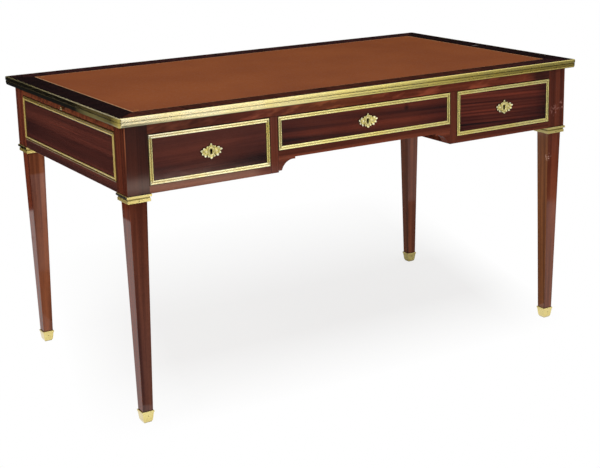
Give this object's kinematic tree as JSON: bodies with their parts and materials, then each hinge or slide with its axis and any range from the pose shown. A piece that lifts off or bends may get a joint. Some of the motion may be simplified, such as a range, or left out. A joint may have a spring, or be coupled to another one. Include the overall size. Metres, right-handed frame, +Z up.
{
  "type": "bureau plat",
  "caption": "Neoclassical writing desk with a brass-edged leather top, locking frieze drawers over a kneehole, pull-out end slides and square tapered legs.",
  "frame": {"origin": "on the floor under the middle of the desk", "axes": "+X to the sitter's right along the desk, +Y to the back, +Z up; the sitter is at -Y"},
  "size_m": [1.38, 0.765, 0.76],
  "materials": {
    "mahogany": "french polished",
    "mahogany_panel": "french polished, dark figured veneer",
    "border_veneer": "french polished, near black crossbanding",
    "oak": "bare, planed",
    "leather": "waxed hide, gilt tooled",
    "brass": "lacquered gilt brass",
    "lock_steel": "filed"
  },
  "bodies": {
    "desk": {"top_panel": "oak", "drawer_runners": "oak", "slide_bearers": "oak", "top_border": "border_veneer", "writing_leather": "leather", "top_edge_moulding": "brass", "leg_collars": "brass", "back_mouldings": "brass", "front_top_rail": "mahogany", "front_rail_left": "mahogany", "front_rail_centre": "mahogany", "front_rail_right": "mahogany", "kneehole_brackets": "mahogany", "back_frieze": "mahogany_panel", "leg_front_left": "mahogany", "sabot_front_left": "brass", "leg_front_right": "mahogany", "sabot_front_right": "brass", "leg_back_left": "mahogany", "sabot_back_left": "brass", "leg_back_right": "mahogany", "sabot_back_right": "brass", "end_panel_left": "mahogany_panel", "end_moulding_left": "brass", "muntin_left": "mahogany", "partition_left": "mahogany", "end_panel_right": "mahogany_panel", "end_moulding_right": "brass", "muntin_right": "mahogany", "partition_right": "mahogany"},
    "drawer_left": {"drawer_left_front": "mahogany_panel", "drawer_left_sides": "oak", "drawer_left_back": "oak", "drawer_left_bottom": "oak", "drawer_left_moulding": "brass", "drawer_left_escutcheon": "brass", "drawer_left_lock_case": "lock_steel"},
    "bolt_left": {"drawer_left_lock_bolt": "lock_steel"},
    "drawer_centre": {"drawer_centre_front": "mahogany_panel", "drawer_centre_sides": "oak", "drawer_centre_back": "oak", "drawer_centre_bottom": "oak", "drawer_centre_moulding": "brass", "drawer_centre_escutcheon": "brass", "drawer_centre_lock_case": "lock_steel"},
    "bolt_centre": {"drawer_centre_lock_bolt": "lock_steel"},
    "drawer_right": {"drawer_right_front": "mahogany_panel", "drawer_right_sides": "oak", "drawer_right_back": "oak", "drawer_right_bottom": "oak", "drawer_right_moulding": "brass", "drawer_right_escutcheon": "brass", "drawer_right_lock_case": "lock_steel"},
    "bolt_right": {"drawer_right_lock_bolt": "lock_steel"},
    "slide_left": {"slide_knob_left": "brass", "slide_board_left": "mahogany", "slide_leather_left": "leather"},
    "slide_right": {"slide_knob_right": "brass", "slide_board_right": "mahogany", "slide_leather_right": "leather"}
  },
  "joints": [
    {"name": "drawer_left_slide", "type": "slide", "parent": "desk", "child": "drawer_left", "axis": [0, -1, 0], "range_m": [0, 0.43]},
    {"name": "drawer_centre_slide", "type": "slide", "parent": "desk", "child": "drawer_centre", "axis": [0, -1, 0], "range_m": [0, 0.43]},
    {"name": "drawer_right_slide", "type": "slide", "parent": "desk", "child": "drawer_right", "axis": [0, -1, 0], "range_m": [0, 0.43]},
    {"name": "slide_left_pull", "type": "slide", "parent": "desk", "child": "slide_left", "axis": [-1, 0, 0], "range_m": [0, 0.28]},
    {"name": "slide_right_pull", "type": "slide", "parent": "desk", "child": "slide_right", "axis": [1, 0, 0], "range_m": [0, 0.28]},
    {"name": "bolt_left_throw", "type": "slide", "parent": "drawer_left", "child": "bolt_left", "axis": [0, 0, 1], "range_m": [0, 0.007]},
    {"name": "bolt_centre_throw", "type": "slide", "parent": "drawer_centre", "child": "bolt_centre", "axis": [0, 0, 1], "range_m": [0, 0.007]},
    {"name": "bolt_right_throw", "type": "slide", "parent": "drawer_right", "child": "bolt_right", "axis": [0, 0, 1], "range_m": [0, 0.007]}
  ]
}
